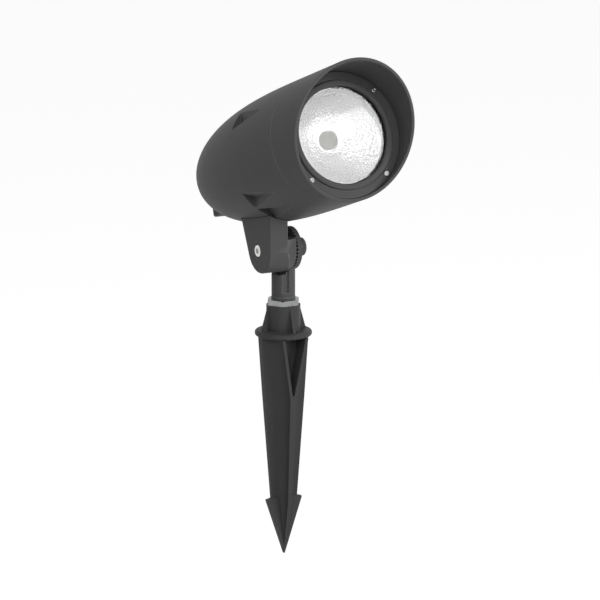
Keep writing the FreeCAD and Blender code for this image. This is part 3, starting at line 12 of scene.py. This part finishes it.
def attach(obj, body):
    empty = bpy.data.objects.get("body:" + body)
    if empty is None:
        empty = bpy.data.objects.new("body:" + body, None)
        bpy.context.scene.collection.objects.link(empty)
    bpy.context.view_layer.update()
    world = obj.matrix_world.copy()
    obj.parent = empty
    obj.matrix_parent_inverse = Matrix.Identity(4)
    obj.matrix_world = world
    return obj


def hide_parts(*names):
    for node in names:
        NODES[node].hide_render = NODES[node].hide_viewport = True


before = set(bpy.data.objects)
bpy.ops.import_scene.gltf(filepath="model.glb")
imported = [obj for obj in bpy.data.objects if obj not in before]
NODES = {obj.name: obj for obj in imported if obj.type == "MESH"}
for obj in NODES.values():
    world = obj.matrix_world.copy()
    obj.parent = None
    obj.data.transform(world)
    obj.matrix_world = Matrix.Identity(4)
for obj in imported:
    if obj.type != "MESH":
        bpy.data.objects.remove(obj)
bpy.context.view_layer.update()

MM = 0.001
WHITE = (1.0, 1.0, 1.0, 1.0)

# Sizes shared with the construction, in millimetres and degrees.
HEAD_LEAN = 18.2
GLASS_REACH = 132.5
AXIS_RISE = 74.0
HINGE_HEIGHT = 75.4
TIP_DEPTH = 194.0

# The reflector's bowl, in the head's millimetres: radii, wall, and heights along the beam.
THROAT_RADIUS = 9.0
MOUTH_RADIUS = 39.4
BOWL_WALL = 1.2
BOWL_BACK = -25.3
BOWL_FRONT = -4.8
FLANGE_RADIUS = 45.8
FLANGE_TOP = -9.2
FLANGE_LOW = -10.2
FACETS_ROUND = 96
FACET_ROWS = 15

# Points of the bowl closer than this, in the head's millimetres, are joined.
LOOP_GAP = 0.001

# Points of a solid closer than SEAM are joined. Edges sharper than SHARP_FROM degrees are
# broken, in EDGE_STEPS steps.
SEAM = 0.005 * MM
SHARP_FROM = 32
EDGE_STEPS = 2

# Pieces with broken edges: the body each rides on, and the edge's width in millimetres.
BROKEN_EDGES = {
    "ground_spike": ("spike_body", 0.5),
    "lock_nut": ("stem_body", 0.4),
    "stem": ("stem_body", 0.35),
    "clamp_cap_nut": ("head_body", 0.4),
    "tilt_bracket": ("head_body", 0.5),
    "rear_housing": ("head_body", 0.4),
    "front_hood": ("head_body", 0.35),
    "trim_ring": ("head_body", 0.3),
    "trim_screws": ("head_body", 0.25),
    "clamp_screw": ("head_body", 0.2),
    "glass_lens": ("head_body", 0.1),
}

# Cloudy noise: how much its fine octaves count, and the values that most of it lies between.
NOISE_ROUGHNESS = 0.55
NOISE_LOW = 0.3
NOISE_HIGH = 0.7

# Sheen left on the textured powder and the spark-eroded nylon; smooth plastic has 0.5.
MATT_SHEEN = 0.12

# Cosine of the turn of a rounded normal at which the painted edge highlight is brightest.
BRIGHTEST_EDGE_TURN = 0.9

# Samples of the material's edge rounding.
ROUNDING_SAMPLES = 6

# The camera: degrees round the lamp and above it, and metres to the point that it looks at.
CAMERA_TURN = -27.95
CAMERA_LIFT = 12.25
CAMERA_DISTANCE = 2.55914
AIM_HEIGHT = 0.03045
AIM_SIDE = 0.01422
LENS_MM = 180
SENSOR_MM = 36
SIGHT_END = 20

# Soft boxes: the place of each in metres and its power in watts. All face LIT_POINT.
SOFT_BOXES = {
    "front_left": ((-0.9, -2.0, 1.3), 17),
    "high_left": ((-1.3, -0.6, 1.7), 6),
    "front_right": ((1.5, -2.0, 0.6), 30),
}
SOFT_BOX_SIDE = 1.2
LIT_POINT = (0, 0, 0.05)

# Strength of the white surround as a light; a camera, a mirror and glass see it at full white.
SURROUND_LEVEL = 0.06

# The floor, in metres, with a hair of air under the spike's point.
FLOOR_SIDE = 12
FLOOR_GAP = 0.0005

# How much of the floor's look is plain white, and what the lamps alone give its paper.
FLOOR_WHITE = 0.7
FLOOR_LIT = 0.2


# ---------------------------------------------------------------- shader nodes


def linear(code):
    """sRGB hex colour as linear values with full alpha."""
    values = []
    for place in (1, 3, 5):
        share = int(code[place : place + 2], 16) / 255
        values.append(share / 12.92 if share <= 0.04045 else ((share + 0.055) / 1.055) ** 2.4)
    return (*values, 1.0)


def add(tree, kind, settings=None, links=None):
    """Adds a shader node, sets its properties and sockets, and links what feeds it."""
    node = tree.nodes.new(kind)
    for name, value in (settings or {}).items():
        if name in node.inputs:
            node.inputs[name].default_value = value
        else:
            setattr(node, name, value)
    for socket, source in (links or {}).items():
        tree.links.new(source, node.inputs[socket])
    return node


def blank(name):
    """New material with an empty node tree."""
    material = bpy.data.materials.new(name)
    material.use_nodes = True
    material.node_tree.nodes.clear()
    return material, material.node_tree


def finish_surface(tree, shader):
    """Sends a shader to the surface output."""
    add(tree, "ShaderNodeOutputMaterial", links={"Surface": shader.outputs[0]})


def textured(tree, settings, colour, dull, relief):
    """Makes the surface from a textured colour, roughness and relief."""
    links = {"Base Color": colour, "Roughness": dull, "Normal": relief}
    finish_surface(tree, add(tree, "ShaderNodeBsdfPrincipled", settings, links))


def grain(tree, size_mm, detail=2.0):
    """Cloudy noise with features of about this size."""
    place = add(tree, "ShaderNodeTexCoord")
    settings = {"Scale": 1 / (size_mm * MM), "Detail": detail, "Roughness": NOISE_ROUGHNESS}
    noise = add(tree, "ShaderNodeTexNoise", settings, {"Vector": place.outputs["Object"]})
    return noise.outputs["Fac"]


def spread(tree, source, low, high):
    """Maps a texture's middle values to the range from low to high."""
    settings = {"From Min": NOISE_LOW, "From Max": NOISE_HIGH, "To Min": low, "To Max": high}
    return add(tree, "ShaderNodeMapRange", settings, {"Value": source}).outputs["Result"]


def blend(tree, share, first, second):
    """Colour between two others, each of them a fixed value or a node's output."""
    node = add(tree, "ShaderNodeMix", {"data_type": "RGBA"}, {"Factor": share})
    places = [place for place in node.inputs if place.enabled and place.type == "RGBA"]
    for place, colour in zip(places, (first, second)):
        if isinstance(colour, tuple):
            place.default_value = colour
        else:
            tree.links.new(colour, place)
    return next(place for place in node.outputs if place.enabled)


def tint(tree, source, dark, light):
    """Colour that drifts between two tones."""
    return blend(tree, source, linear(dark), linear(light))


def bump(tree, source, depth_mm, strength=1.0, over=None):
    """Surface relief of a real depth, on top of other normals where they are given."""
    settings = {"Distance": depth_mm * MM, "Strength": strength}
    links = {"Height": source}
    if over is not None:
        links["Normal"] = over
    return add(tree, "ShaderNodeBump", settings, links).outputs["Normal"]


def soft_edges(tree, width_mm):
    """Normals that turn smoothly over an edge, as a thick coat or a mould's radius does."""
    settings = {"samples": ROUNDING_SAMPLES, "Radius": width_mm * MM}
    return add(tree, "ShaderNodeBevel", settings).outputs["Normal"]


def painted_edge_highlights(tree, colour, highlight_tone, rounded, share):
    """Paints a paler tone along edges: a painted highlight where light would catch the rounded
    edges.
    """
    flat = add(tree, "ShaderNodeNewGeometry").outputs["True Normal"]
    along = add(tree, "ShaderNodeVectorMath", {"operation": "DOT_PRODUCT"}, {0: rounded, 1: flat})
    settings = {"From Min": 1.0, "From Max": BRIGHTEST_EDGE_TURN, "To Min": 0.0, "To Max": share}
    highlit_share = add(tree, "ShaderNodeMapRange", settings, {"Value": along.outputs["Value"]})
    return blend(tree, highlit_share.outputs["Result"], colour, linear(highlight_tone))


def mixed(tree, share, first, second):
    """Shader that goes from the first to the second as the share goes from 0 to 1."""
    links = {"Fac": share, 1: first.outputs[0], 2: second.outputs[0]}
    return add(tree, "ShaderNodeMixShader", links=links)


def larger(tree, first, second):
    """The larger of two values."""
    return add(tree, "ShaderNodeMath", {"operation": "MAXIMUM"}, {0: first, 1: second}).outputs[0]


def by_ray(tree, lit, seen):
    """One value for light that falls on things, one for rays of the camera, a mirror or glass."""
    path = add(tree, "ShaderNodeLightPath")
    bent = larger(tree, path.outputs["Is Glossy Ray"], path.outputs["Is Transmission Ray"])
    direct = larger(tree, path.outputs["Is Camera Ray"], bent)
    settings = {"To Min": lit, "To Max": seen}
    return add(tree, "ShaderNodeMapRange", settings, {"Value": direct}).outputs["Result"]


# ---------------------------------------------------------------- materials


def powder_coat():
    """Dark grey polyester powder on die-cast aluminium: matt, with a fine orange peel."""
    material, tree = blank("powder_coated_aluminium")
    peel = grain(tree, size_mm=1.1)
    drift = grain(tree, size_mm=24, detail=3.0)
    rounded = soft_edges(tree, width_mm=0.6)
    relief = bump(tree, peel, depth_mm=0.05, strength=0.5, over=rounded)
    even = tint(tree, drift, "#565656", "#5d5d5d")
    # Painted highlight: a paler tone painted along the rounded edges of the coat.
    colour = painted_edge_highlights(tree, even, "#a6a6a6", rounded, share=0.6)
    dull = spread(tree, peel, low=0.5, high=0.6)
    textured(tree, {"IOR": 1.5, "Specular IOR Level": MATT_SHEEN}, colour, dull, relief)
    return material


def moulded_plastic():
    """Dark grey glass-filled nylon from a spark-eroded mould: fine grain, a soft sheen."""
    material, tree = blank("glass_filled_nylon")
    fine = grain(tree, size_mm=0.9)
    drift = grain(tree, size_mm=30, detail=3.0)
    rounded = soft_edges(tree, width_mm=0.5)
    relief = bump(tree, fine, depth_mm=0.04, strength=0.6, over=rounded)
    colour = tint(tree, drift, "#484848", "#4e4e4e")
    dull = spread(tree, fine, low=0.46, high=0.58)
    textured(tree, {"IOR": 1.5, "Specular IOR Level": MATT_SHEEN}, colour, dull, relief)
    return material


def plain_metal(name, dark, light, rough, grain_mm, relief_mm):
    """Bare metal with cloudy tone and fine relief."""
    material, tree = blank(name)
    cloud = grain(tree, grain_mm, detail=4.0)
    fine = grain(tree, grain_mm / 4)
    relief = bump(tree, fine, relief_mm, strength=0.6)
    colour = tint(tree, cloud, dark, light)
    dull = spread(tree, fine, low=rough - 0.05, high=rough + 0.07)
    textured(tree, {"Metallic": 1.0}, colour, dull, relief)
    return material


def soft_solid(name, dark, light, rough, grain_mm, relief_mm, ior):
    """Plastic, rubber or resin with a drifting tone and fine relief."""
    material, tree = blank(name)
    fine = grain(tree, grain_mm)
    relief = bump(tree, fine, relief_mm, strength=0.6)
    colour = tint(tree, fine, dark, light)
    dull = spread(tree, fine, low=rough - 0.05, high=rough + 0.05)
    textured(tree, {"IOR": ior}, colour, dull, relief)
    return material


def zinc_plate():
    """Zinc-plated steel: mid grey with a dull shine."""
    return plain_metal(
        "zinc_plated_steel", "#8c8d8e", "#a2a3a4", rough=0.38, grain_mm=6, relief_mm=0.02
    )


def stainless_steel():
    """Stainless steel of cold-headed screws: bright and nearly smooth."""
    return plain_metal(
        "stainless_steel", "#c9c9c8", "#dcdcdb", rough=0.24, grain_mm=3, relief_mm=0.01
    )


def machined_aluminium():
    """Milled aluminium: pale grey with a soft shine."""
    return plain_metal(
        "machined_aluminium", "#b4b6b8", "#c8cacb", rough=0.3, grain_mm=5, relief_mm=0.02
    )


def silicone_rubber():
    """Black silicone rubber: nearly black and dull."""
    return soft_solid(
        "silicone_rubber", "#161617", "#1d1d1e", rough=0.7, grain_mm=0.8, relief_mm=0.03, ior=1.41
    )


def white_polycarbonate():
    """White polycarbonate: slightly warm, half matt."""
    return soft_solid(
        "white_polycarbonate",
        "#dedfdc",
        "#e8e8e5",
        rough=0.45,
        grain_mm=1.0,
        relief_mm=0.02,
        ior=1.58,
    )


def phosphor_resin():
    """Phosphor in clear resin behind the glass, coloured a dark warm grey: painted shade of the
    reflector's deep throat.
    """
    return soft_solid(
        "phosphor_resin", "#4b4a45", "#55544e", rough=0.35, grain_mm=0.6, relief_mm=0.01, ior=1.42
    )


def thermal_silicone():
    """Filled silicone pad: flat mid grey."""
    return soft_solid(
        "thermal_silicone", "#8a8d91", "#96999d", rough=0.8, grain_mm=0.7, relief_mm=0.02, ior=1.41
    )


def circuit_board():
    """Glass-epoxy board under green solder mask."""
    return soft_solid(
        "green_circuit_board",
        "#1d5433",
        "#256140",
        rough=0.4,
        grain_mm=2.0,
        relief_mm=0.02,
        ior=1.5,
    )


def silicone_wire():
    """Red silicone insulation."""
    return soft_solid(
        "silicone_wire", "#a83a32", "#b5443b", rough=0.5, grain_mm=1.5, relief_mm=0.01, ior=1.41
    )


def clear_glass():
    """Toughened soda-lime glass: clear, with faint waves from the toughening rollers."""
    material, tree = blank("toughened_glass")
    tone = linear("#fafafa")
    wave = grain(tree, size_mm=30)
    relief = bump(tree, wave, depth_mm=0.02, strength=0.3)
    settings = {"Base Color": tone, "Roughness": 0.02, "IOR": 1.5, "Transmission Weight": 1.0}
    glass = add(tree, "ShaderNodeBsdfPrincipled", settings, {"Normal": relief})
    clear = add(tree, "ShaderNodeBsdfTransparent", {"Color": tone})
    shadow = add(tree, "ShaderNodeLightPath").outputs["Is Shadow Ray"]
    finish_surface(tree, mixed(tree, shadow, glass, clear))
    return material


def hammered_aluminium():
    """Bright-dipped anodised aluminium, peened: pale grey, with a shimmer from facet to facet."""
    material, tree = blank("hammered_bright_aluminium")
    dent_mm = 1.8
    place = add(tree, "ShaderNodeTexCoord").outputs["Object"]
    dents = add(tree, "ShaderNodeTexVoronoi", {"Scale": 1 / (dent_mm * MM)}, {"Vector": place})
    relief = bump(tree, dents.outputs["Distance"], depth_mm=0.6)
    haze = grain(tree, size_mm=9, detail=3.0)
    dull = spread(tree, haze, low=0.3, high=0.4)
    colour = tint(tree, haze, "#e0e0e0", "#eaeaea")
    textured(tree, {"Metallic": 1.0}, colour, dull, relief)
    return material


def dress(material, *names):
    """Gives CAD nodes a material."""
    for name in names:
        slots = NODES[name].data.materials
        slots.clear()
        slots.append(material)


# ---------------------------------------------------------------- pieces


def head_place():
    """Turns the head's own millimetres into the frame's metres."""
    lean = math.radians(HEAD_LEAN)
    forward = GLASS_REACH * math.cos(lean) - AXIS_RISE * math.sin(lean)
    height = HINGE_HEIGHT + GLASS_REACH * math.sin(lean) + AXIS_RISE * math.cos(lean)
    shift = Matrix.Translation(Vector((0, -forward, height)) * MM)
    turn = Matrix.Rotation(math.radians(90 - HEAD_LEAN), 4, "X")
    return shift @ turn @ Matrix.Scale(MM, 4)


def alone(piece):
    """Makes one piece the only one selected, and the active one."""
    bpy.ops.object.select_all(action="DESELECT")
    piece.select_set(True)
    bpy.context.view_layer.objects.active = piece


def finished(name, body, edge_mm):
    """A casting, moulding, pane or turned piece: a merged copy of the solid with broken edges."""
    piece = bpy.data.objects.new(f"{name}_finished", NODES[name].data.copy())
    bpy.context.collection.objects.link(piece)
    alone(piece)
    bpy.ops.object.mode_set(mode="EDIT")
    bpy.ops.mesh.select_all(action="SELECT")
    bpy.ops.mesh.remove_doubles(threshold=SEAM)
    bpy.ops.object.mode_set(mode="OBJECT")
    edges = piece.modifiers.new("broken_edges", "BEVEL")
    edges.width = edge_mm * MM
    edges.segments = EDGE_STEPS
    edges.limit_method = "ANGLE"
    edges.angle_limit = math.radians(SHARP_FROM)
    bpy.ops.object.modifier_apply(modifier=edges.name)
    bpy.ops.object.shade_smooth_by_angle(angle=math.radians(SHARP_FROM))
    level = piece.modifiers.new("level_faces", "WEIGHTED_NORMAL")
    level.keep_sharp = True
    bpy.ops.object.modifier_apply(modifier=level.name)
    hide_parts(name)
    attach(piece, body)


def bowl_radius(height):
    """Radius of the parabola at a height along the beam."""
    share = (height - BOWL_BACK) / (BOWL_FRONT - BOWL_BACK)
    return math.sqrt(THROAT_RADIUS**2 + share * (MOUTH_RADIUS**2 - THROAT_RADIUS**2))


def bowl_height(radius):
    """Height along the beam at which the parabola has this radius."""
    share = (radius**2 - THROAT_RADIUS**2) / (MOUTH_RADIUS**2 - THROAT_RADIUS**2)
    return BOWL_BACK + share * (BOWL_FRONT - BOWL_BACK)


def spun_ring(name, outline, segments):
    """Closed ring round the beam, drawn out loop by loop through (radius, height) points."""
    radius, height = outline[0]
    bpy.ops.object.select_all(action="DESELECT")
    bpy.ops.mesh.primitive_circle_add(vertices=segments, radius=radius)
    ring = bpy.context.object
    ring.name = name
    bpy.ops.object.mode_set(mode="EDIT")
    bpy.ops.mesh.select_all(action="SELECT")
    bpy.ops.transform.translate(value=(0, 0, height))
    for next_radius, next_height in (*outline[1:], outline[0]):
        lift = (0, 0, next_height - height)
        bpy.ops.mesh.extrude_region_move(TRANSFORM_OT_translate={"value": lift})
        widen = next_radius / radius
        bpy.ops.transform.resize(value=(widen, widen, 1))
        radius, height = next_radius, next_height
    bpy.ops.mesh.select_all(action="SELECT")
    bpy.ops.mesh.remove_doubles(threshold=LOOP_GAP)
    bpy.ops.mesh.normals_make_consistent(inside=False)
    bpy.ops.object.mode_set(mode="OBJECT")
    return ring


def reflector_bowl(material):
    """Spun bowl hammered into rows of small flat facets, with its rolled lip and fixing flange."""
    step = (MOUTH_RADIUS - THROAT_RADIUS) / FACET_ROWS
    rows = [THROAT_RADIUS + row * step for row in range(FACET_ROWS + 1)]
    inside = [(radius, bowl_height(radius)) for radius in rows]
    waist = (FLANGE_LOW + BOWL_BACK) / 2
    outside = [
        (MOUTH_RADIUS + BOWL_WALL, BOWL_FRONT),
        (bowl_radius(FLANGE_TOP) + BOWL_WALL, FLANGE_TOP),
        (FLANGE_RADIUS, FLANGE_TOP),
        (FLANGE_RADIUS, FLANGE_LOW),
        (bowl_radius(FLANGE_LOW) + BOWL_WALL, FLANGE_LOW),
        (bowl_radius(waist) + BOWL_WALL, waist),
        (THROAT_RADIUS + BOWL_WALL, BOWL_BACK),
    ]
    bowl = spun_ring("reflector_bowl", inside + outside, FACETS_ROUND)
    bowl.data.transform(head_place())
    bowl.data.materials.append(material)
    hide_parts("reflector")
    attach(bowl, "head_body")


# ---------------------------------------------------------------- camera, light and floor


def camera():
    """Long lens in front of the lamp, a little above it and off to -X, as in the photograph."""
    turn = math.radians(CAMERA_TURN)
    lift = math.radians(CAMERA_LIFT)
    right = Vector((math.cos(turn), math.sin(turn), 0))
    back = Vector(
        (math.sin(turn) * math.cos(lift), -math.cos(turn) * math.cos(lift), math.sin(lift))
    )
    aim = Vector((0, 0, AIM_HEIGHT)) + right * AIM_SIDE
    data = bpy.data.cameras.new("camera")
    data.lens = LENS_MM
    data.sensor_width = SENSOR_MM
    data.clip_end = SIGHT_END
    eye = bpy.data.objects.new("camera", data)
    eye.location = aim + back * CAMERA_DISTANCE
    eye.rotation_euler = back.to_track_quat("Z", "Y").to_euler()
    bpy.context.collection.objects.link(eye)
    bpy.context.scene.camera = eye


def soft_box(name, place, power):
    """Square soft box that faces the lit point; mirrors show the white surround in its place."""
    data = bpy.data.lights.new(name, "AREA")
    data.shape = "SQUARE"
    data.size = SOFT_BOX_SIDE
    data.energy = power
    lamp = bpy.data.objects.new(name, data)
    lamp.location = Vector(place)
    lamp.visible_glossy = False
    lamp.rotation_euler = (Vector(place) - Vector(LIT_POINT)).to_track_quat("Z", "Y").to_euler()
    bpy.context.collection.objects.link(lamp)


def surround():
    """White world that lights the lamp only a little."""
    world = bpy.data.worlds.new("surround")
    world.use_nodes = True
    tree = world.node_tree
    tree.nodes.clear()
    level = by_ray(tree, lit=SURROUND_LEVEL, seen=1.0)
    light = add(tree, "ShaderNodeBackground", {"Color": WHITE}, {"Strength": level})
    add(tree, "ShaderNodeOutputWorld", links={"Surface": light.outputs[0]})
    bpy.context.scene.world = world


def white_paper():
    """White paper, lifted to full white for the eye; it keeps a soft shadow."""
    material, tree = blank("white_floor")
    paper = add(tree, "ShaderNodeBsdfDiffuse", {"Color": linear("#f4f4f4")})
    glow_level = (1 - (1 - FLOOR_WHITE) * FLOOR_LIT) / FLOOR_WHITE
    glow = add(tree, "ShaderNodeEmission", {"Color": WHITE, "Strength": glow_level})
    finish_surface(tree, mixed(tree, by_ray(tree, lit=0.0, seen=FLOOR_WHITE), paper, glow))
    return material


def floor():
    """Plain floor at the spike's point."""
    height = -TIP_DEPTH * MM - FLOOR_GAP
    bpy.ops.mesh.primitive_plane_add(size=FLOOR_SIDE, location=(0, 0, height))
    plane = bpy.context.object
    plane.name = "floor"
    plane.data.materials.append(white_paper())


# ---------------------------------------------------------------- the lamp and its studio

dress(
    powder_coat(),
    "rear_housing",
    "front_hood",
    "trim_ring",
    "tilt_bracket",
    "stem",
    "clamp_cap_nut",
)
dress(moulded_plastic(), "ground_spike", "gland_nut")
dress(zinc_plate(), "lock_nut", "driver_tray")
dress(
    stainless_steel(),
    "trim_screws",
    "housing_screws",
    "clamp_screw",
    "spring_washer",
    "holder_screws",
    "plate_screws",
    "tray_screws",
    "driver_screws",
    "terminal_screws",
    "bracket_screws",
)
dress(silicone_rubber(), "housing_gasket", "lens_gasket", "bracket_seal", "cable_grommet")
dress(clear_glass(), "glass_lens")
reflector_bowl(hammered_aluminium())
dress(machined_aluminium(), "heat_plate", "led_board")
dress(white_polycarbonate(), "led_holder", "driver_case", "driver_lid", "terminal_block")
# The phosphor's dark warm grey is painted shade of the reflector's deep throat.
dress(phosphor_resin(), "led_phosphor")
dress(thermal_silicone(), "thermal_pad")
dress(circuit_board(), "driver_board")
dress(silicone_wire(), "led_leads")

for name, (body, edge_mm) in BROKEN_EDGES.items():
    finished(name, body, edge_mm)

camera()
for name, (place, power) in SOFT_BOXES.items():
    soft_box(name, place, power)
surround()
floor()
bpy.context.scene.view_settings.view_transform = "Standard"
